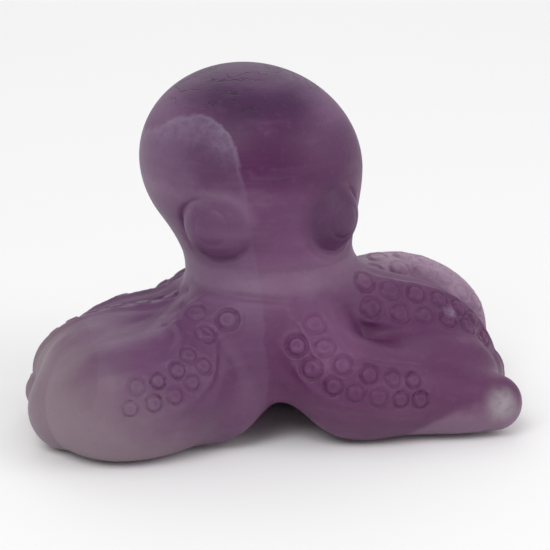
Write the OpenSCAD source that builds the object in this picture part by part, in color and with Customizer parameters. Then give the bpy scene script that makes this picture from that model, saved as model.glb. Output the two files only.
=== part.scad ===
// Octopus figurine carved from one lump of banded fluorite.
//
// The whole animal is a single stone: mantle, eyes, neck, eight arms and all
// the suckers are cut from the same lump, so the part has one node and nothing
// on it moves. It faces -Y, +Z is up, and the origin is on the ground base,
// under the neck. Lengths are in millimetres.

/* [Mantle] */
// Width of the mantle at its widest
mantle_w = 34; // [31:0.2:36]
// Depth of the mantle, front to back
mantle_depth = 35; // [31:0.5:38]
// Height of the mantle's own egg
mantle_h = 29.6; // [28:0.2:33]
// Height of the crown above the base
crown_z = 52.6; // [50:0.2:56]
// How far the mantle leans back from the neck
mantle_back = 4.5; // [2:0.5:7]
// How far the mantle sits to the animal's right
mantle_side = 2; // [0:0.1:3]
// Angle at which the mantle tips up on that side
mantle_tip = 14; // [0:1:20]

/* [Face and neck] */
// Width of the face below the eyes
face_w = 25.2; // [24:0.2:27]
// Width of the eye domes
eye_w = 11.6; // [10:0.2:13]
// Height of the eye domes
eye_h = 10.4; // [9:0.2:12]
// Height of the eyes' middle above the base
eye_z = 31.8; // [29:0.2:33]
// Angle between the face's midline and each eye
eye_turn = 36; // [30:1:42]

/* [Arms] */
// Spread of the arms, as a share of the carved size
arm_spread = 1; // [0.9:0.01:1.1]
// Thickness of the arms, as a share of the carved size
arm_girth = 1; // [0.92:0.01:1.08]
// Width of the web of stone that joins the arms underneath
web_w = 50; // [40:1:54]
// Depth of that web, front to back
web_depth = 32; // [26:1:34]
// Width of the arch between the two front arms at the base
arch_w = 13; // [11:0.5:16]
// Height of that arch
arch_h = 6.4; // [5:0.2:8]

/* [Suckers] */
// Radius of a sucker at the root of an arm
sucker_r = 1.6; // [1.3:0.05:1.8]
// Height that a sucker stands proud
sucker_proud = 0.5; // [0.3:0.05:0.7]
// Gap between the two rows of suckers, middle to middle
row_gap = 4; // [3.6:0.1:4.6]

/* [Hidden] */

stone_colour = [0.42, 0.29, 0.42];
body_facets = 28;
web_facets = 16;
arm_facets = 12;
sucker_facets = 6;
steps_per_span = 2;
// Size of the block taken away under the ground
below = 60;
// Height of the middle of the face, where the mantle narrows into it
face_z = 26;
// How far the face stands in front of the neck's axis
face_out = 0.5;
// How far each eye is sunk in the face
eye_sunk = 0.6;
// How deep a sucker's foot is sunk in its arm
sucker_root = 1.2;
// Width of a sucker's foot and of its lip, as shares of its radius
sucker_foot = 1.2;
sucker_lip = 0.75;
// Knots passed before an arm's first sucker, and suckers of a row per knot
first_sucker = 0.9;
suckers_per_knot = 2.1;

// One row for each arm: the way its suckers face at the root and at the tip,
// then the knots of its centre line. A knot is [turn from the front, distance
// from the neck's axis, height, radius], with the turn in degrees towards the
// arm's own side.
left_arms = [
  [[-0.75, -0.6, 0.1], [-0.2, -0.94, 0.35],
    [[28, 6.5, 18, 7.4], [52, 12, 13.4, 8.6], [54, 17.5, 10, 9.4],
     [52, 24.4, 8.8, 9.2], [58, 31, 8, 8.8], [70, 34, 6, 6.4]]],
  [[-0.1, 0.45, 0.9], [-0.1, 0.35, 1],
    [[72, 5, 16.2, 7.4], [80, 14, 11.8, 7.4], [88, 23, 10, 7.5],
     [94, 29.2, 7.5, 6.9], [96, 32.6, 3.8, 4.7]]],
  [[-0.1, 0.6, 0.8], [-0.1, 0.6, 0.8],
    [[118, 5, 16, 7.2], [116, 15, 11, 7.2], [116, 23, 8.4, 7.2],
     [116, 29, 5.6, 6], [113, 32.5, 3.4, 4.2]]],
  [[-0.3, 0.3, 0.9], [-0.3, 0.3, 0.9],
    [[160, 5, 17, 7.5], [158, 14, 12.5, 7.8], [152, 21.5, 8, 7.6],
     [142, 27, 5.2, 6.4], [130, 31, 3.8, 4.6]]]
];
right_arms = [
  [[-0.1, -0.97, 0.1], [0.15, -0.85, 0.55],
    [[10, 5.2, 18, 7], [16, 11, 13.2, 7.2], [20, 16.4, 9.8, 7.3],
     [32, 20.2, 7.8, 7], [47, 25, 6.2, 6], [54, 31, 5.2, 5],
     [58, 35.4, 4.8, 4.2]]],
  [[0.1, -0.85, 0.5], [0.1, -0.45, 0.9],
    [[70, 5, 18.5, 7.8], [76, 14, 14.5, 7.8], [82, 22.5, 11.5, 7.8],
     [86, 28, 7.6, 6.8], [84, 31.5, 4.2, 5]]],
  [[0.1, -0.3, 1], [0.1, -0.3, 1],
    [[118, 5, 15, 7.2], [112, 14, 13.8, 7.2], [106, 22.8, 13.8, 7.4],
     [102, 29, 10.6, 7], [98, 31, 4.6, 5.4]]],
  [[0.3, 0.3, 0.9], [0.3, 0.3, 0.9],
    [[160, 5, 17, 7.5], [158, 14, 13.5, 7.8], [152, 21.5, 8.6, 7.6],
     [142, 27, 5.2, 6.4], [130, 31, 3.8, 4.6]]]
];

// The stone left between neighbouring arms: middle and size of each swelling.
webs = [
  [[0, 3, 3], [web_w, web_depth, 22]],
  [[-0.5, -6, 11], [web_w / 2, web_depth * 0.75, 26]],
  [[-26, -7, 8.5], [20, 19, 17]],
  [[20.5, -10.5, 5.6], [25, 17, 14]],
  [[-9, -12.5, 5], [16, 14, 12]],
  [[9.5, -14.5, 4.5], [15, 12.5, 11]]
];

function unit(v) = v / norm(v);

// A knot as [x, y, z, radius]; side is -1 on the left and 1 on the right.
function place(knot, side) = [
  side * arm_spread * knot[1] * sin(knot[0]),
  -arm_spread * knot[1] * cos(knot[0]),
  knot[2],
  arm_girth * knot[3]
];

// Catmull-Rom blend of four neighbouring knots.
function blend(a, b, c, d, t) =
  0.5 * (2 * b + (c - a) * t + (2 * a - 5 * b + 4 * c - d) * t * t
    + (3 * b - a - 3 * c + d) * t * t * t);

// The knots with one more at each end, so that the curve meets its end knots.
function padded(knots) = let (last = len(knots) - 1) concat(
  [2 * knots[0] - knots[1]],
  knots,
  [2 * knots[last] - knots[last - 1]]
);

// The centre line at u, where whole numbers of u are knots.
function on_line(knots, u) = let (
  ends = padded(knots),
  span = min(floor(u), len(knots) - 2)
) blend(ends[span], ends[span + 1], ends[span + 2], ends[span + 3], u - span);

function xyz(p) = [p[0], p[1], p[2]];

module dome(size, facets = body_facets) {
  scale(size / 2) sphere(r = 1, $fn = facets);
}

module mantle() {
  hull() {
    translate([-mantle_side, mantle_back, crown_z - mantle_h / 2])
      rotate([0, mantle_tip, 0]) dome([mantle_w, mantle_depth, mantle_h]);
    translate([0, face_out, face_z]) dome([face_w, face_w, face_w * 0.6]);
  }
}

// The neck widens from the face down to where the arms begin.
module neck() {
  wider = 2;
  foot_z = 15;
  hull() {
    translate([0, face_out, face_z]) dome([face_w, face_w, face_w * 0.6]);
    translate([0, -face_out, foot_z]) dome([face_w + wider, face_w + wider, face_w * 0.8]);
  }
}

// Each eye is a smooth dome, half sunk in the face.
module eyes() {
  eye_depth = eye_h * 0.8;
  for (side = [-1, 1])
    rotate([0, 0, side * eye_turn])
      translate([0, eye_sunk - face_w / 2, eye_z]) dome([eye_w, eye_depth, eye_h]);
}

module arm_tube(knots) {
  steps = steps_per_span * (len(knots) - 1);
  for (i = [0 : steps - 1]) {
    a = on_line(knots, i / steps_per_span);
    b = on_line(knots, (i + 1) / steps_per_span);
    hull() {
      translate(xyz(a)) sphere(r = a[3], $fn = arm_facets);
      translate(xyz(b)) sphere(r = b[3], $fn = arm_facets);
    }
  }
}

// Two staggered rows of suckers along one side of the arm, which faces root at
// its root and tip at its tip. They shrink with the arm and stop short of its end.
module arm_suckers(knots, root, tip) {
  last = len(knots) - 1;
  for (row = [-1, 1], i = [0 : floor((last - first_sucker) * suckers_per_knot)]) {
    u = first_sucker + (i + (row + 1) / 4) / suckers_per_knot;
    if (u <= last) {
      here = on_line(knots, u);
      along = unit(xyz(on_line(knots, min(u + 0.05, last))) - xyz(on_line(knots, u - 0.05)));
      faces = root + (tip - root) * u / last;
      up = unit(faces - (faces * along) * along);
      across = cross(along, up);
      share = here[3] / knots[0][3];
      tilt = row * row_gap * share / 2 / here[3] * 180 / PI;
      out = up * cos(tilt) + across * sin(tilt);
      beside = cross(out, along);
      foot = xyz(here) + out * (here[3] - sucker_root);
      multmatrix([
        [along[0], beside[0], out[0], foot[0]],
        [along[1], beside[1], out[1], foot[1]],
        [along[2], beside[2], out[2], foot[2]],
        [0, 0, 0, 1]
      ])
        cylinder(
          h = sucker_root + sucker_proud,
          r1 = sucker_r * share * sucker_foot,
          r2 = sucker_r * share * sucker_lip,
          $fn = sucker_facets
        );
    }
  }
}

module arms(table, side) {
  for (row = table) {
    knots = [for (knot = row[2]) place(knot, side)];
    arm_tube(knots);
    arm_suckers(knots, row[0], row[1]);
  }
}

module web() {
  for (swelling = webs) translate(swelling[0]) dome(swelling[1], web_facets);
}

// The arch under the face, where the two front arms part.
module arch() {
  arch_x = -2.2;
  front = -17;
  length = 32;
  sunk = 2.4;
  translate([arch_x, front, -sunk]) dome([arch_w, length, 2 * (arch_h + sunk)]);
}

module ground() {
  translate([-below, -below, -below]) cube([2 * below, 2 * below, below]);
}

module carved_octopus() {
  color(stone_colour) difference() {
    union() {
      mantle();
      neck();
      web();
      eyes();
      arms(left_arms, -1);
      arms(right_arms, 1);
    }
    arch();
    ground();
  }
}

carved_octopus();
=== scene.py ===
"""An octopus carved from one lump of banded purple fluorite.

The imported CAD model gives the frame: the ground, the box and the one body. The stone's finished
surface is carved here as a single closed mesh. It is described by a field, negative inside the stone
and near the distance to its surface, that joins a mantle, a face, eyes, a web and eight arms, and then
has creases and suckers cut into it. Lengths in the carving are millimetres of the CAD model, in its
frame, with the face towards -Y; the mesh is made in metres.
"""

import math

import bmesh
import bpy
import numpy as np
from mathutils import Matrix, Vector


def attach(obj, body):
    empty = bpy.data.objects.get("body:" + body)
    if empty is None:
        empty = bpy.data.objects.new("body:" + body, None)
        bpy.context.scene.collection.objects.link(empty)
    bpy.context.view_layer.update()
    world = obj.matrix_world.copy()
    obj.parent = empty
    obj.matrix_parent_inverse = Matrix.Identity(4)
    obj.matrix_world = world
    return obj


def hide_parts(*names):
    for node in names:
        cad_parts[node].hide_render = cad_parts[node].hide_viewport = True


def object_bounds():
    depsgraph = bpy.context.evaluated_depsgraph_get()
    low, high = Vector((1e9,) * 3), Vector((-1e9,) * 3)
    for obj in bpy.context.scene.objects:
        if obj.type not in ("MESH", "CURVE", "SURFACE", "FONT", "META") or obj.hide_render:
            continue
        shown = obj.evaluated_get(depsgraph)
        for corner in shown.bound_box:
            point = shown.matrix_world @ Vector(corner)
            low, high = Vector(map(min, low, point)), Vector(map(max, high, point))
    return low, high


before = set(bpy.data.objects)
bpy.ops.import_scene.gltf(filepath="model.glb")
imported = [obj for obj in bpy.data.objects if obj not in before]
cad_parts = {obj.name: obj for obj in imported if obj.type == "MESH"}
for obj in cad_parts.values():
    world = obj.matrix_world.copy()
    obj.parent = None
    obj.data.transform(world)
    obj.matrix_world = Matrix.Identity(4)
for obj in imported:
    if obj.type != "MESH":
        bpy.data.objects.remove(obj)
CAD_LOW, CAD_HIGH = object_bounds()

# One of the carving's millimetres, in the scene's metres.
MM = 0.001

CELL = 0.42
GRID_MARGIN = 3.0

# Straight steps along each arm's centre line when the nearest place on it is looked for.
LINE_STEPS = 36

# Radius of a sucker at the start of its row, distance between an arm's two rows, the share of both that
# is left at the row's end, and the distance from one sucker to the next in radii.
SUCKER_R = 1.55
ROW_APART = 4.0
END_SHARE = 0.7
SUCKER_PITCH = 2.8
ROW_STEPS = 400
SEED = 8

# Middle and size of each round form that the arms grow from.
MANTLE = ((-2.0, 4.5, 37.8), (34, 35, 29.6))
MANTLE_LEAN = -14
FACE = ((-0.2, 0.5, 27), (25.2, 26, 32))
NECK = ((0, -1, 14), (27, 29, 34))
CHEST = ((-0.5, -6, 11), (25, 24, 26))
WEB = ((0, 3, 3), (50, 32, 22))

# Middle, size and turn of each eye, the one on the -X side first.
EYES = (((-8.9, -7.7, 31.7), (11.6, 7.8, 10.8), -36), ((7.0, -7.9, 31.8), (10.6, 7.8, 10.6), 34))

# The stone left between neighbouring arms: middle and size of each swelling.
SWELLINGS = (
    ((-26, -7, 8.5), (20, 19, 17)),
    ((20.5, -10.5, 6.6), (25, 17.5, 15.6)),
    ((-9, -12.5, 5), (16, 14, 12)),
    ((9.5, -14.5, 4.5), (15, 12.5, 11)),
)

# A fold cut in where two arms meet: the points it passes through, its depth and its half width.
FOLD = ((-13.5, -4, 20.6), (-14.6, -8.5, 20.2), (-16.4, -11.9, 19.0), (-20.4, -15.2, 17.9))
FOLD_DEPTH = 0.4
FOLD_WIDTH = 0.5
FOLD_STEPS = 60

# The crease round the front of the neck: its height at the middle, its fall to one side and its depth.
COLLAR_Z = 21.2
COLLAR_FALL = 0.06
COLLAR_DEPTH = 0.35

# The arch between the two front arms: how far it is to the side, its height and its half width.
ARCH_X = -2.2
ARCH_HEIGHT = 6.4
ARCH_HALF = 6

# Each arm: the way its suckers face at the root and at the tip, where along the arm they start and end
# and where a ridge between the two rows ends, then the knots of its centre line as angle from the face,
# distance out, height and radius. The left arms are those on the -X side.
LEFT_ARMS = (
    (
        ((-0.75, -0.6, 0.1), (-0.2, -0.94, 0.35), (6.5, 28, 0)),
        (
            (28, 6.5, 18, 7.4), (52, 12, 13.4, 8.6), (54, 17.5, 10, 9.4), (52, 24.4, 8.8, 9.2),
            (58, 31, 8, 8.8), (70, 34, 6, 6.4),
        ),
    ),
    (
        ((-0.1, 0.45, 0.9), (-0.1, 0.35, 1), (9, 34, 0)),
        (
            (72, 5, 16.2, 7.4), (80, 14, 11.8, 7.4), (88, 23, 10, 7.5), (94, 29.2, 7.5, 6.9),
            (96, 32.6, 3.8, 4.7),
        ),
    ),
    (
        ((-0.1, 0.6, 0.8), (-0.1, 0.6, 0.8), (9, 34, 0)),
        (
            (118, 5, 16, 7.2), (116, 15, 11, 7.2), (116, 23, 8.4, 7.2), (116, 29, 5.6, 6),
            (113, 32.5, 3.4, 4.2),
        ),
    ),
    (
        ((-0.3, 0.3, 0.9), (-0.3, 0.3, 0.9), (9, 34, 0)),
        (
            (160, 5, 17, 7.5), (158, 14, 12.5, 7.8), (152, 21.5, 8, 7.6), (142, 27, 5.2, 6.4),
            (130, 31, 3.8, 4.6),
        ),
    ),
)
RIGHT_ARMS = (
    (
        ((-0.1, -0.97, 0.1), (0.15, -0.85, 0.55), (4, 28, 15)),
        (
            (10, 5.2, 18, 7), (16, 11, 13.2, 7.2), (20, 16.4, 9.8, 7.3), (32, 20.2, 7.8, 7),
            (47, 25, 6.2, 6), (54, 31, 5.2, 5), (58, 35.4, 4.8, 4.2),
        ),
    ),
    (
        ((0.1, -0.85, 0.5), (0.1, -0.45, 0.9), (7, 34, 0)),
        (
            (70, 5, 18.5, 7.8), (76, 14, 14.5, 7.8), (82, 22.5, 11.5, 7.8), (86, 28, 7.6, 6.8),
            (84, 31.5, 4.2, 5),
        ),
    ),
    (
        ((0.1, -0.3, 1), (0.1, -0.3, 1), (9, 34, 0)),
        (
            (118, 5, 15, 7.2), (112, 14, 13.8, 7.2), (106, 22.8, 13.8, 7.4), (102, 29, 10.6, 7),
            (98, 31, 4.6, 5.4),
        ),
    ),
    (
        ((0.3, 0.3, 0.9), (0.3, 0.3, 0.9), (9, 34, 0)),
        (
            (160, 5, 17, 7.5), (158, 14, 13.5, 7.8), (152, 21.5, 8.6, 7.6), (142, 27, 5.2, 6.4),
            (130, 31, 3.8, 4.6),
        ),
    ),
)


def unit(v):
    return v / np.linalg.norm(v, axis=-1, keepdims=True)


def dot(a, b):
    return (a * b).sum(-1)


def bump(x, width):
    """1 at x = 0, falling smoothly away over width."""
    return np.exp(-((x / width) ** 2))


def step(low, high, x):
    """0 at low and 1 at high, with a smooth rise between."""
    t = np.clip((x - low) / (high - low), 0, 1)
    return t * t * (3 - 2 * t)


def union(a, b, soft):
    """Two fields joined, with a fillet about soft wide."""
    h = np.clip(0.5 + 0.5 * (b - a) / soft, 0, 1)
    return b + h * (a - b) - soft * h * (1 - h)


def cut(a, b, soft):
    """Field a with b taken away."""
    return -union(-a, b, soft)


def turned(q, turn, lean):
    """Points q about a centre, turned back from a yaw and then from a lean to one side."""
    c, s = math.cos(math.radians(turn)), math.sin(math.radians(turn))
    x, y = c * q[:, 0] + s * q[:, 1], c * q[:, 1] - s * q[:, 0]
    c, s = math.cos(math.radians(lean)), math.sin(math.radians(lean))
    return np.stack([c * x + s * q[:, 2], y, c * q[:, 2] - s * x], 1)


def ellipsoid(p, centre, size, turn=0.0, lean=0.0):
    """Nearly the distance to an ellipsoid of the given full size."""
    q = turned(p - np.array(centre, float), turn, lean)
    r = np.array(size, float) / 2
    k = np.linalg.norm(q / r, axis=1)
    return k * (k - 1) / (np.linalg.norm(q / r**2, axis=1) + 1e-9)


def with_ends(k):
    """The knots k with one more at each end, so that a spline meets its end knots."""
    return np.vstack([2 * k[0] - k[1], k, 2 * k[-1] - k[-2]])


def spline(k, u):
    """A Catmull-Rom curve through the knots k[1:-1] at u, its rate and its bend."""
    i = np.clip(u.astype(int), 0, len(k) - 4)
    t = (u - i)[:, None]
    a, b, c, d = k[i], k[i + 1], k[i + 2], k[i + 3]
    one, two, three = c - a, 2 * a - 5 * b + 4 * c - d, 3 * b - a - 3 * c + d
    at = b + 0.5 * (one * t + two * t**2 + three * t**3)
    return at, 0.5 * one + two * t + 1.5 * three * t**2, two + 3 * three * t


class Arm:
    """One arm: a tapering tube along a curved line, with two rows of suckers along one side."""

    def __init__(self, suckers, knots, side, rng):
        self.root, self.tip, self.run = (np.array(v, float) for v in suckers)
        turn = np.radians([k[0] for k in knots])
        far, height, radius = (np.array([k[n] for k in knots], float) for n in (1, 2, 3))
        k = np.stack([side * far * np.sin(turn), -far * np.cos(turn), height, radius], 1)
        self.knots = with_ends(k)
        self.end = len(k) - 1
        self.u = np.linspace(0, self.end, LINE_STEPS + 1)
        line = spline(self.knots, self.u)[0]
        self.at, self.r = line[:, :3], line[:, 3]
        self.s = np.concatenate([[0], np.cumsum(np.linalg.norm(np.diff(self.at, axis=0), axis=1))])
        self.low = (self.at - self.r[:, None]).min(0) - 2.5
        self.high = (self.at + self.r[:, None]).max(0) + 2.5
        self.suckers = np.concatenate([self.row(edge, rng) for edge in (-1, 1)])

    def faces(self, u, along):
        """The direction the suckers face at u, square to the line."""
        share = (u / self.end)[:, None]
        strip = (1 - share) * self.root + share * self.tip
        return unit(strip - dot(strip, along)[:, None] * along)

    def row(self, edge, rng):
        """The suckers of one row: centre, radius and height."""
        u = np.interp(np.linspace(*self.run[:2], ROW_STEPS), self.s, self.u)
        line, rate, _ = spline(self.knots, u)
        along = unit(rate[:, :3])
        up = self.faces(u, along)
        fade = np.linspace(1, END_SHARE, ROW_STEPS)
        turn = (edge * ROW_APART / 2 * fade / line[:, 3])[:, None]
        path = line[:, :3] + line[:, 3:] * (np.cos(turn) * up + np.sin(turn) * np.cross(along, up))
        s = np.concatenate([[0], np.cumsum(np.linalg.norm(np.diff(path, axis=0), axis=1))])
        suckers = []
        staggered = 2.4
        here = 0.0 if edge < 0 else staggered
        while here < s[-1]:
            size = SUCKER_R * np.interp(here, s, fade) * rng.uniform(0.92, 1.08)
            centre = [np.interp(here, s, path[:, n]) for n in range(3)]
            suckers.append((*centre, size, rng.uniform(0.65, 1.15)))
            here += size * SUCKER_PITCH + rng.uniform(-0.1, 0.3)
        return np.array(suckers)

    def nearest(self, p):
        """The place along the line nearest to each point, with the line's value and rate there."""
        gap2 = dot(p, p)[:, None] - 2 * p @ self.at.T + dot(self.at, self.at)
        u = self.u[(np.sqrt(np.maximum(gap2, 0)) - self.r).argmin(1)]
        for _ in range(3):
            line, rate, bend = spline(self.knots, u)
            off, rate3 = p - line[:, :3], rate[:, :3]
            speed2 = dot(rate3, rate3)
            turn = np.minimum(dot(off, bend[:, :3]) - speed2, -0.3 * speed2)
            u = np.clip(u - np.clip(dot(off, rate3) / turn, -0.3, 0.3), 0, self.end)
        line, rate, _ = spline(self.knots, u)
        return u, line, rate

    def field(self, p):
        """Distance to the arm's surface, and a large value for points well away from it."""
        out = np.full(len(p), 6.0)
        near = ((p > self.low) & (p < self.high)).all(1)
        q = p[near]
        if not len(q):
            return out
        u, line, rate = self.nearest(q)
        off = q - line[:, :3]
        distance = np.linalg.norm(off, axis=1) - line[:, 3]
        close = np.abs(distance) < 2
        distance[close] -= self.relief(u[close], off[close], line[close, 3], rate[close, :3])
        out[near] = distance
        return out

    def relief(self, u, off, r, rate):
        """How far the rims along the rows, and the ridge between them, stand proud of the tube."""
        along = unit(rate)
        up = self.faces(u, along)
        w = r * np.arctan2(dot(off, np.cross(along, up)), dot(off, up))
        s = np.interp(u, self.u, self.s)
        carved = step(self.run[0] - 2, self.run[0] + 2, s) * step(self.run[1] + 2, self.run[1] - 4, s)
        rim = 0.78 * ROW_APART + 0.6
        beyond = np.abs(w) - rim
        h = 0.24 * bump(beyond, 0.6) - 0.14 * bump(beyond - 1.4, 0.8)
        h += 0.7 * bump(w, 0.4) * step(self.run[2], self.run[2] - 4, s)
        return carved * (h - 0.12 * step(0.2, -1, beyond))


def with_eye(f, p, centre, size, turn):
    """The stone f with a domed eye: a crease, crisp low on its outer side, one more below, and a ring."""
    q = turned(p - np.array(centre), turn, 0)
    ring_r, crease_width, second_crease = 2.7, 0.6, 1.3
    outward = (math.copysign(0.75, turn) * q[:, 0] - 0.65 * q[:, 2]) / 5
    crisp = step(-0.9, 0.3, outward)
    dome = ellipsoid(p, centre, size, turn) + 0.09 * bump(np.hypot(q[:, 0], q[:, 2]) - ring_r, 0.3)
    near = np.abs(dome) < 4
    creased = f + (0.22 + 0.25 * crisp) * bump(dome, crease_width)
    creased += 0.2 * bump(dome - second_crease, 0.35) * step(-1, -4, q[:, 2])
    return np.where(near, union(creased, dome, 1.1 - 0.7 * crisp), np.minimum(f, dome))


def folded(f, p):
    """The stone f with the fold cut in it, which fades out over its last third."""
    line = spline(with_ends(np.array(FOLD, float)), np.linspace(0, len(FOLD) - 1, FOLD_STEPS))[0]
    near = ((p > line.min(0) - 2) & (p < line.max(0) + 2)).all(1)
    gap = np.linalg.norm(p[near][:, None] - line, axis=2)
    fade = step(FOLD_STEPS, 40, gap.argmin(1))
    f[near] += FOLD_DEPTH * fade * bump(gap.min(1), FOLD_WIDTH)
    return f


def collar(p):
    """Depth of the crease round the front of the neck."""
    x, y, z = p.T
    return COLLAR_DEPTH * bump(z - COLLAR_Z + COLLAR_FALL * x, 0.45) * step(-3, -8, y) * step(5, -2, x)


def arch(p):
    """Height of the arch's roof, which comes down to the ground behind the front arms."""
    return ARCH_HEIGHT * bump(p[:, 0] - ARCH_X, ARCH_HALF) * step(2, -12, p[:, 1])


def body(p):
    """The carving without its suckers."""
    f = union(ellipsoid(p, *MANTLE, lean=MANTLE_LEAN), ellipsoid(p, *FACE), 4)
    for form, soft in ((NECK, 3), (CHEST, 3), (WEB, 2)):
        f = union(f, ellipsoid(p, *form), soft)
    arms = ARMS[0].field(p)
    for arm in ARMS[1:]:
        arms = union(arms, arm.field(p), 0.8)
    f = union(f, arms, 2.4)
    for swelling in SWELLINGS:
        f = union(f, ellipsoid(p, *swelling), 3)
    for eye in EYES:
        f = with_eye(f, p, *eye)
    f = folded(f, p) + collar(p)
    f = cut(f, 0.8 * (p[:, 2] - arch(p)), 1.2)
    return cut(f, p[:, 2], 0.5)


def settled(arms):
    """The suckers moved on to the carving's surface, without those the body hides or that would overlap."""
    suckers = np.concatenate([arm.suckers for arm in arms])
    suckers = suckers[np.abs(body(suckers[:, :3])) < 1.6]
    suckers[:, :3] = onto_surface(body, suckers[:, :3], 4)
    kept = []
    for sucker in suckers:
        gaps = [np.linalg.norm(sucker[:3] - other[:3]) / (sucker[3] + other[3]) for other in kept]
        if sucker[2] > 2 and min(gaps, default=9) > 1.02:
            kept.append(sucker)
    return np.array(kept)


def gap_to_suckers(p):
    """Distance to the nearest sucker in its own radii, and which one it is."""
    at = SUCKERS[:, :3]
    gap2 = dot(p, p)[:, None] - 2 * p @ at.T + dot(at, at)
    rho = np.sqrt(np.maximum(gap2, 0)) / SUCKERS[:, 3]
    nearest = rho.argmin(1)
    return rho[np.arange(len(p)), nearest], nearest


def stone(p):
    """The whole carving's field at points p: each sucker is a cupped disc, a groove and a low lip."""
    f = body(p)
    close = np.abs(f) < 2
    rho, nearest = gap_to_suckers(p[close])
    disc = 0.36 * step(1.02, 0.62, rho) - 0.2 * bump(rho, 0.4)
    lip, groove = 0.14 * bump(rho - 1.34, 0.18), 0.2 * bump(rho - 1.08, 0.16)
    f[close] -= (disc + lip - groove) * SUCKERS[nearest, 4]
    return f


def in_blocks(field, p, block=60000):
    """The field at many points, a block at a time to spare memory."""
    return np.concatenate([field(p[n : n + block]) for n in range(0, len(p), block)])


def slope(field, p, d=0.02):
    """The field and its gradient."""
    f = in_blocks(field, p)
    rise = [in_blocks(field, p + d * axis) - f for axis in np.eye(3)]
    return f, np.stack(rise, 1) / d


def onto_surface(field, p, rounds=2):
    """The points moved to the surface along the field's slope."""
    for _ in range(rounds):
        f, g = slope(field, p)
        steep = np.maximum((g * g).sum(1), 0.25)
        p = p - np.clip(f / steep, -0.4, 0.4)[:, None] * g
    return p


def sampled(field, low, high, cell):
    """The field on a grid. Far from the surface it is filled in from a grid four times as coarse."""
    count = 4 * np.ceil((high - low) / (4 * cell)).astype(int)
    coarse = [np.arange(0, n + 1, 4) for n in count]
    grid = np.stack(np.meshgrid(*coarse, indexing="ij"), -1).reshape(-1, 3)
    values = in_blocks(field, low + cell * grid).reshape([len(c) for c in coarse])
    for axis in range(3):
        a = values.take(range(values.shape[axis] - 1), axis)
        b = values.take(range(1, values.shape[axis]), axis)
        mixed = np.stack([a + (b - a) * q / 4 for q in range(4)], axis + 1)
        shape = list(a.shape)
        shape[axis] *= 4
        last = values.take([-1], axis)
        values = np.concatenate([mixed.reshape(shape), last], axis)
    near = np.argwhere(np.abs(values) < 5 * cell)
    values[tuple(near.T)] = in_blocks(field, low + cell * near)
    return values


def crossings(values, cells):
    """The mean of the places where the surface crosses the edges of each cell."""
    corners = [(x, y, z) for x in (0, 1) for y in (0, 1) for z in (0, 1)]
    total, crossed = np.zeros((len(cells), 3)), np.zeros(len(cells))
    for a in corners:
        for axis in range(3):
            if a[axis]:
                continue
            b = tuple(v + (n == axis) for n, v in enumerate(a))
            va, vb = values[tuple((cells + a).T)], values[tuple((cells + b).T)]
            cross = (va < 0) != (vb < 0)
            t = np.where(cross, va / np.where(cross, va - vb, 1), 0)
            point = np.array(a) + t[:, None] * (np.array(b) - np.array(a))
            total += point * cross[:, None]
            crossed += cross
    return cells + total / crossed[:, None]


def quads_across(inside, index, axis):
    """A quad round each of the grid's edges along one axis that the surface crosses."""
    one, two = (axis + 1) % 3, (axis + 2) % 3
    low = [slice(1, n) for n in index.shape]
    low[axis] = slice(0, index.shape[axis])
    high = list(low)
    high[axis] = slice(1, index.shape[axis] + 1)
    first, second = inside[tuple(low)], inside[tuple(high)]
    edges = np.argwhere(first != second)
    leaving = first[tuple(edges.T)]
    base = edges + [0 if n == axis else 1 for n in range(3)]
    around = []
    for d1, d2 in ((1, 1), (0, 1), (0, 0), (1, 0)):
        cell = base.copy()
        cell[:, one] -= d1
        cell[:, two] -= d2
        around.append(index[tuple(cell.T)])
    quad = np.stack(around, 1)
    quad[~leaving] = quad[~leaving][:, ::-1]
    return quad


def surface_net(values):
    """One vertex in each cell that the surface crosses, and a quad round each crossed edge of the grid."""
    inside = values < 0
    shape = np.array(values.shape) - 1
    hits = np.zeros(shape, np.int8)
    for x in (0, 1):
        for y in (0, 1):
            for z in (0, 1):
                hits += inside[x : x + shape[0], y : y + shape[1], z : z + shape[2]]
    cells = np.argwhere((hits > 0) & (hits < 8))
    index = np.full(shape, -1)
    index[tuple(cells.T)] = np.arange(len(cells))
    quads = [quads_across(inside, index, axis) for axis in range(3)]
    return crossings(values, cells), np.concatenate(quads)


def carve(cell):
    """The stone's surface as vertices in millimetres and quads."""
    low = np.array(CAD_LOW) / MM - GRID_MARGIN
    high = np.array(CAD_HIGH) / MM + GRID_MARGIN
    # The grid is shifted so that none of its points falls on the flat ground.
    low[2] -= 0.37 * cell
    vertices, quads = surface_net(sampled(stone, low, high, cell))
    return low + cell * vertices, quads


def mesh_from(name, vertices, faces):
    mesh = bpy.data.meshes.new(name)
    mesh.from_pydata(vertices.tolist(), [], faces.tolist())
    mesh.update()
    return mesh


def finer(mesh, wanted):
    """Splits the edges whose ends are both wanted, and so the faces between them into four."""
    bm = bmesh.new()
    bm.from_mesh(mesh)
    edges = [e for e in bm.edges if wanted[e.verts[0].index] and wanted[e.verts[1].index]]
    bmesh.ops.subdivide_edges(bm, edges=edges, cuts=1, use_grid_fill=True)
    bm.to_mesh(mesh)
    bm.free()


def points_of(mesh):
    co = np.empty(len(mesh.vertices) * 3)
    mesh.vertices.foreach_get("co", co)
    return co.reshape(-1, 3)


def by_detail(p):
    """Which points lie near suckers or the eyes' rims, where the carving is finest."""
    fine = gap_to_suckers(p)[0] < 1.45
    for centre, size, turn in EYES:
        fine |= np.abs(ellipsoid(p, centre, size, turn)) < 0.9
    return fine


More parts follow.
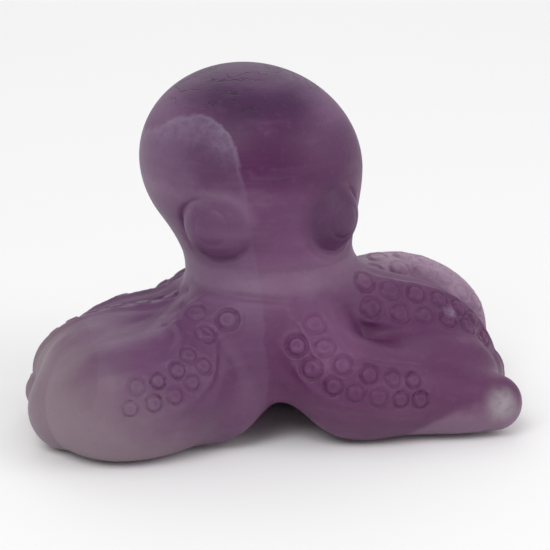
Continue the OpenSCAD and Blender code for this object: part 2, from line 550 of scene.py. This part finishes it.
def carved_stone():
    """The octopus as one mesh, with finer faces where the carving is finest."""
    vertices, quads = carve(CELL)
    mesh = mesh_from("carved_stone", onto_surface(stone, vertices), quads)
    finer(mesh, by_detail(points_of(mesh)))
    p = onto_surface(stone, points_of(mesh))
    p[:, 2] = np.maximum(p[:, 2], 0)
    mesh.vertices.foreach_set("co", (p * MM).ravel())
    mesh.polygons.foreach_set("use_smooth", np.ones(len(mesh.polygons), bool))
    mesh.update()
    stone_object = bpy.data.objects.new("carved_stone", mesh)
    bpy.context.scene.collection.objects.link(stone_object)
    return stone_object


RNG = np.random.default_rng(SEED)
ARMS = [Arm(*arm, -1, RNG) for arm in LEFT_ARMS]
ARMS += [Arm(*arm, 1, RNG) for arm in RIGHT_ARMS]
SUCKERS = settled(ARMS)

octopus = carved_stone()
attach(octopus, "root")
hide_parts("carved_octopus")


def srgb(red, green, blue):
    """A colour given as 0 to 255, as the linear light the shaders work in."""
    return tuple(((c / 255 + 0.055) / 1.055) ** 2.4 for c in (red, green, blue)) + (1,)


def plain(name, colour, roughness):
    """A material of one colour, for the floor."""
    material = bpy.data.materials.new(name)
    material.use_nodes = True
    shader = material.node_tree.nodes["Principled BSDF"]
    shader.inputs["Base Color"].default_value = colour
    shader.inputs["Roughness"].default_value = roughness
    return material


class Graph:
    """Builds a material's nodes from plain calls. Values may be numbers, colours or other nodes' outputs."""

    def __init__(self, material):
        self.nodes, self.links = material.node_tree.nodes, material.node_tree.links

    def put(self, socket, value):
        if isinstance(value, bpy.types.NodeSocket):
            self.links.new(value, socket)
        elif value is not None:
            socket.default_value = value

    def node(self, kind, inputs, output=0, **settings):
        made = self.nodes.new("ShaderNode" + kind)
        for name, value in settings.items():
            setattr(made, name, value)
        for key, value in inputs.items():
            self.put(made.inputs[key], value)
        return made.outputs[output]

    def math(self, operation, a, b=0.0):
        return self.node("Math", {0: a, 1: b}, operation=operation)

    def add(self, *terms):
        total = terms[0]
        for term in terms[1:]:
            total = self.math("ADD", total, term)
        return total

    def times(self, a, b):
        return self.math("MULTIPLY", a, b)

    def line(self, value, slope, start):
        return self.node("Math", {0: value, 1: slope, 2: start}, operation="MULTIPLY_ADD")

    def smooth(self, value, low, high):
        """0 at low and 1 at high."""
        ends = {"Value": value, "From Min": low, "From Max": high}
        return self.node("MapRange", ends, interpolation_type="SMOOTHSTEP")

    def tint(self, colour, mask, strength, tone):
        """The colour, tinted with a tone given as 0 to 255 where the mask is 1."""
        share = self.times(mask, strength)
        return self.node("Mix", {0: share, 6: colour, 7: srgb(*tone)}, 2, data_type="RGBA")

    def noise(self, place, size, detail=2.0, roughness=0.5, stretch=(1, 1, 1)):
        """Cloudy noise from about -1 to 1, with blotches about size millimetres across."""
        scale = [1 / (size * s) for s in stretch]
        at = self.node("VectorMath", {0: place, 1: scale}, operation="MULTIPLY")
        inputs = {"Vector": at, "Scale": 1.0, "Detail": detail, "Roughness": roughness}
        return self.line(self.node("TexNoise", inputs), 5.0, -2.5)

    def ball(self, place, centre, inner, outer):
        """1 within inner of the centre, 0 beyond outer."""
        gap = self.node("VectorMath", {0: place, 1: centre}, 1, operation="DISTANCE")
        return self.smooth(gap, outer, inner)

    def ramp(self, value, stops):
        """A colour from stops of (value, colour), with smooth steps between."""
        low, high = stops[0][0], stops[-1][0]
        share = self.node("MapRange", {"Value": value, "From Min": low, "From Max": high})
        made = self.nodes.new("ShaderNodeValToRGB")
        ramp = made.color_ramp
        ramp.interpolation = "B_SPLINE"
        for n, (at, colour) in enumerate(stops):
            position = (at - low) / (high - low)
            # A new ramp has its two ends already.
            element = ramp.elements.new(position) if n > 1 else ramp.elements[n]
            element.position = position
            element.color = colour
        self.links.new(share, made.inputs[0])
        return made.outputs[0]


# The stone's colour bands from the ground up: height in millimetres and colour as 0 to 255.
BANDS = (
    (0, (100, 64, 93)),
    (8, (93, 46, 85)),
    (15, (89, 38, 84)),
    (20.5, (99, 53, 94)),
    (23.5, (118, 86, 114)),
    (27, (106, 63, 101)),
    (32, (100, 56, 97)),
    (35.5, (100, 56, 95)),
    (38.5, (76, 18, 72)),
    (43, (75, 17, 70)),
    (46, (75, 28, 74)),
    (48.5, (65, 24, 69)),
    (50.5, (66, 26, 71)),
    (53, (80, 38, 83)),
)

# Places that the stone's colour marks, and where light is painted on it, in millimetres.
# KNOB is the middle of a painted highlight on the front right arm's knob.
KNOB = (30.1, -22.8, 5.8)
CHIP = (26.1, -8.1, 15.9)
# ARM_SHEEN is the middle of painted sheen lifting the shade in a pocket on the front right arm near its
# root.
ARM_SHEEN = (4.9, -18.9, 16.3)
PITTED = (6.8, -6.5, 44.6)
RIGHT_EYE = (7.6, -12, 32.5)
LEFT_EYE = (-11, -11, 31)
# The middle of the ring of painted sheen along the left eye's upper rim.
LEFT_EYE_SHEEN = (-9.6, -9.6, 31.2)


class Fluorite(Graph):
    """Satin purple fluorite: wavy bands, a whitish veil with one sharp edge, pits and hairline cracks."""

    def __init__(self, material):
        super().__init__(material)
        metres = self.node("TexCoord", {}, 3)
        self.place = self.node("VectorMath", {0: metres, "Scale": 1 / MM}, operation="SCALE")
        self.x, self.y, self.z = (self.node("SeparateXYZ", {0: self.place}, axis) for axis in range(3))
        self.cloud = self.noise(self.place, 4.5, 4)
        self.fine = self.noise(self.place, 1.1, 4, 0.6)

    def build(self):
        colour = self.pale_bands_and_sheen(self.streaked(self.banded()))
        edge = self.veil_edge()
        veil = self.smooth(edge, 0.15, -0.4)
        worn = self.worn(edge)
        colour = self.eye_tones(self.arm_tones(self.veiled(colour, edge, veil, worn)))
        self.surface(colour, self.times(veil, worn))

    def both(self, a, b):
        """Where two masks overlap."""
        return self.times(a, b)

    def near_height(self, height, waver, reach, core):
        """1 within core of a height that wavers with the clouds, 0 beyond reach."""
        gap = self.math("ABSOLUTE", self.add(self.z, -height, self.times(self.cloud, waver)))
        return self.smooth(gap, reach, core)

    def banded(self):
        wide = self.noise(self.place, 14)
        height = self.add(self.z, self.times(wide, 1.2), self.times(self.cloud, 0.5))
        return self.ramp(height, [(at, srgb(*tone)) for at, tone in BANDS])

    def streaked(self, colour):
        """Flat streaks along the bands and softer blotches."""
        streaks = self.noise(self.place, 16, 3, 0.5, (1, 1, 0.12))
        colour = self.tint(colour, self.smooth(streaks, 0, 1.4), 0.2, (128, 98, 124))
        colour = self.tint(colour, self.smooth(streaks, 0, -1.4), 0.3, (58, 26, 57))
        blotches = self.noise(self.place, 5, 3, 0.6, (1, 1, 0.6))
        colour = self.tint(colour, self.smooth(blotches, 0.1, 1.6), 0.14, (138, 104, 134))
        return self.tint(colour, self.smooth(blotches, -0.1, -1.3), 0.22, (66, 32, 68))

    def pale_bands_and_sheen(self, colour):
        """Paler stone and painted sheen at the sides of the crown, and paler bands above the left eye and
        round the collar.
        """
        off_core = self.math("ABSOLUTE", self.add(self.x, 2.5, self.times(self.cloud, 0.8)))
        crown_sides_and_sheen = self.both(self.smooth(off_core, 5, 12), self.smooth(self.z, 43, 47))
        # Partly paler stone off the dark core, partly painted sheen lightening the head's edges.
        colour = self.tint(colour, crown_sides_and_sheen, 0.4, (130, 94, 128))
        above_eye = self.both(self.near_height(36, 1.2, 1.6, 0.2), self.smooth(self.x, 4, -12))
        collar_band = self.near_height(23.4, 0.5, 3.0, 0.5)
        return self.tint(colour, self.math("MAXIMUM", above_eye, collar_band), 0.11, (158, 132, 156))

    def veil_edge(self):
        """Below 0 in the veil, which lies beside a face that leans with height and under a ragged arch."""
        ragged = self.add(self.times(self.cloud, 0.3), self.times(self.fine, 0.3))
        above_collar = self.math("MAXIMUM", self.add(self.z, -24.0), 0)
        beside = self.add(self.x, 4.0, self.times(above_collar, 0.16), ragged)
        from_top = self.add(self.x, 12.0)
        over = self.add(self.z, -47.4, self.times(self.times(from_top, from_top), 0.11), ragged)
        return self.node("Math", {0: beside, 1: over, 2: 2.0}, operation="SMOOTH_MAX")

    def worn(self, edge):
        """The whiter, finely mottled part of the veil near its top."""
        by_edge = self.smooth(self.add(edge, self.times(self.cloud, 2)), -7, -0.5)
        worn = self.both(self.smooth(self.z, 39, 45), by_edge)
        return self.times(worn, self.line(self.smooth(self.fine, -1, 1), 0.7, 0.4))

    def veiled(self, colour, edge, veil, worn):
        """The veil with a brighter lip along its edge, painted sheen on the mantle's two flanks, and paler
        stone on the right one beyond the dark core.
        """
        colour = self.tint(colour, veil, self.line(worn, 0.26, 0.11), (138, 124, 150))
        lip = self.both(self.both(self.smooth(edge, -1.0, -0.2), veil), self.smooth(self.z, 35, 42))
        colour = self.tint(colour, lip, 0.13, (170, 154, 178))
        # Painted sheen lightening the head's left edge.
        left_edge_sheen = self.smooth(self.add(self.x, self.cloud), -11, -17)
        colour = self.tint(colour, self.both(left_edge_sheen, self.smooth(self.z, 30, 38)), 0.27, (150, 122, 150))
        # Partly paler stone beyond the dark core, partly painted sheen lightening the head's right edge.
        beyond_core = self.add(self.x, self.times(self.z, 0.12), self.cloud)
        right_flank_and_sheen = self.both(self.smooth(beyond_core, 6.8, 12), self.smooth(self.z, 36, 44))
        return self.tint(colour, right_flank_and_sheen, 0.2, (126, 92, 128))

    def arm_tones(self, colour):
        """Grey stone low on the left, lilac behind on the right, a pale foot in front, a painted highlight
        on the knob and painted sheen on the front right arm.
        """
        low_left = self.smooth(self.add(self.x, self.z, self.times(self.cloud, 2)), -5, -26)
        colour = self.tint(colour, low_left, 0.9, (134, 116, 126))
        rearward = self.smooth(self.add(self.y, self.times(self.cloud, 2)), -3, 6)
        colour = self.tint(colour, self.both(self.smooth(self.x, 8, 20), rearward), 0.92, (160, 135, 156))
        foot = self.smooth(self.add(self.x, self.times(self.z, -1.6), self.times(self.cloud, 0.6)), 13, 15)
        low_front = self.both(self.smooth(self.add(self.z, self.cloud), 7, 3.5), self.smooth(self.y, -2, -9))
        colour = self.tint(colour, self.both(foot, low_front), 0.5, (142, 118, 138))
        # A painted highlight on the knob, mottled to break up its edge.
        mottled = self.line(self.smooth(self.fine, -1.5, 0.5), 0.4, 0.6)
        knob = self.both(self.ball(self.place, KNOB, 0.2, 3.8), mottled)
        colour = self.tint(colour, knob, 0.75, (164, 158, 162))
        # Painted sheen lifting the shade in the pocket on the front right arm near its root.
        colour = self.tint(colour, self.ball(self.place, ARM_SHEEN, 2, 8), 0.2, (158, 110, 150))
        chip = self.both(self.ball(self.place, CHIP, 0.2, 1.8), self.smooth(self.fine, -1, 1))
        return self.tint(colour, chip, 0.5, (166, 156, 182))

    def eye_tones(self, colour):
        """Darker eyes, the left one with painted sheen along its upper rim."""
        right_eye = self.times(self.ball(self.place, RIGHT_EYE, 3, 7), 0.6)
        left_eye = self.times(self.ball(self.place, LEFT_EYE, 4, 7), 0.15)
        colour = self.tint(colour, self.add(right_eye, left_eye), 1.0, (62, 28, 64))
        # Painted sheen: a ring round the left eye, kept to its upper side.
        inside_sheen = self.times(self.ball(self.place, LEFT_EYE_SHEEN, 4, 5.6), -1)
        rim = self.add(self.ball(self.place, LEFT_EYE_SHEEN, 5.2, 7), inside_sheen)
        return self.tint(colour, self.both(rim, self.smooth(self.z, 31, 34)), 0.22, (156, 130, 154))

    def surface(self, colour, worn_veil):
        """The grain, the cracks and the pits, in colour and in relief, and the shader they go to."""
        colour = self.tint(colour, self.smooth(self.fine, 0.2, 1.6), 0.1, (150, 126, 146))
        colour = self.tint(colour, self.smooth(self.fine, -0.3, -1.6), 0.2, (52, 26, 54))
        ripple = self.math("ABSOLUTE", self.noise(self.place, 9, 3, 0.5, (1, 1, 0.3)))
        on_crown = self.both(self.smooth(self.z, 47, 49), self.smooth(self.cloud, -0.5, 0.1))
        crack = self.both(self.smooth(ripple, 0.06, 0.02), on_crown)
        colour = self.tint(colour, crack, 0.75, (46, 24, 50))
        pits = self.node("TexVoronoi", {"Vector": self.place, "Scale": 1.4})
        pitted = self.math("MAXIMUM", self.ball(self.place, PITTED, 2, 4.4), self.times(worn_veil, 0.3))
        hole = self.both(self.smooth(pits, 0.36, 0.12), pitted)
        colour = self.tint(colour, hole, 0.4, (56, 34, 58))

        grain = self.add(self.times(self.noise(self.place, 0.35, 3, 0.6), 0.12), self.times(self.fine, 0.2))
        relief = self.add(grain, self.times(hole, -1.2), self.times(crack, -2.2))
        bumped = self.node("Bump", {"Height": relief, "Distance": 0.12 * MM, "Strength": 0.5})
        shader = self.nodes["Principled BSDF"]
        for name, value in (
            ("Base Color", colour),
            ("Roughness", self.line(self.fine, 0.04, 0.48)),
            ("Normal", bumped),
            ("Subsurface Weight", 0.3),
            ("Subsurface Radius", (1.0, 0.6, 0.95)),
            ("Subsurface Scale", 2.0 * MM),
            ("Specular IOR Level", 0.4),
            ("Coat Weight", 0.05),
            ("Coat Roughness", 0.3),
            ("IOR", 1.43),
        ):
            self.put(shader.inputs[name], value)


def fluorite():
    material = bpy.data.materials.new("fluorite")
    material.use_nodes = True
    Fluorite(material).build()
    return material


def floor():
    half = 3
    corners = np.array([(-half, -half, 0), (half, -half, 0), (half, half, 0), (-half, half, 0)])
    mesh = mesh_from("floor", corners, np.array([(0, 1, 2, 3)]))
    ground = bpy.data.objects.new("floor", mesh)
    ground.data.materials.append(plain("pale_floor", srgb(253, 253, 253), 0.8))
    bpy.context.scene.collection.objects.link(ground)


# The soft lights: place and size in metres, and power in watts.
LIGHTS = {
    "key": ((-0.35, -0.5, 0.7), 0.5, 3.0),
    "fill": ((0.55, -0.35, 0.4), 0.5, 1.3),
    "rim": ((0.1, 0.6, 0.5), 0.6, 0.9),
}
SKY_STRENGTH = 0.58


def soft_light(name, place, size, power, target):
    light = bpy.data.lights.new(name, "AREA")
    light.size = size
    light.energy = power
    lamp = bpy.data.objects.new(name, light)
    lamp.location = place
    lamp.rotation_euler = (Vector(target) - Vector(place)).to_track_quat("-Z", "Y").to_euler()
    bpy.context.scene.collection.objects.link(lamp)


def studio():
    scene = bpy.context.scene
    scene.view_settings.view_transform = "Standard"
    world = bpy.data.worlds.new("studio")
    world.use_nodes = True
    sky = world.node_tree.nodes["Background"]
    sky.inputs["Color"].default_value = (1, 1, 1, 1)
    sky.inputs["Strength"].default_value = SKY_STRENGTH
    scene.world = world
    for name, light in LIGHTS.items():
        soft_light(name, *light, target=(0, 0, 25 * MM))


# The camera's angles in degrees, its distance and aim in millimetres, and its lens.
AZIMUTH = -12
ELEVATION = 16
DISTANCE = 330
AIM_HEIGHT, AIM_ACROSS, AIM_DOWN = 24, 0.76, 2.9
LENS = 142.6


def camera():
    """The viewing angle: a little to the left of straight on, and a little above."""
    azimuth, elevation = math.radians(AZIMUTH), math.radians(ELEVATION)
    across = Vector((math.cos(azimuth), math.sin(azimuth), 0))
    back = Vector((math.sin(azimuth), -math.cos(azimuth), 0)) * math.cos(elevation)
    back.z = math.sin(elevation)
    aim = Vector((0, 0, AIM_HEIGHT)) + AIM_ACROSS * across - AIM_DOWN * back.cross(across)
    data = bpy.data.cameras.new("camera")
    data.sensor_width = 36
    data.lens = LENS
    view = bpy.data.objects.new("camera", data)
    view.location = (aim + DISTANCE * back) * MM
    view.rotation_euler = back.to_track_quat("Z", "Y").to_euler()
    bpy.context.scene.collection.objects.link(view)
    bpy.context.scene.camera = view


octopus.data.materials.append(fluorite())
floor()
studio()
camera()
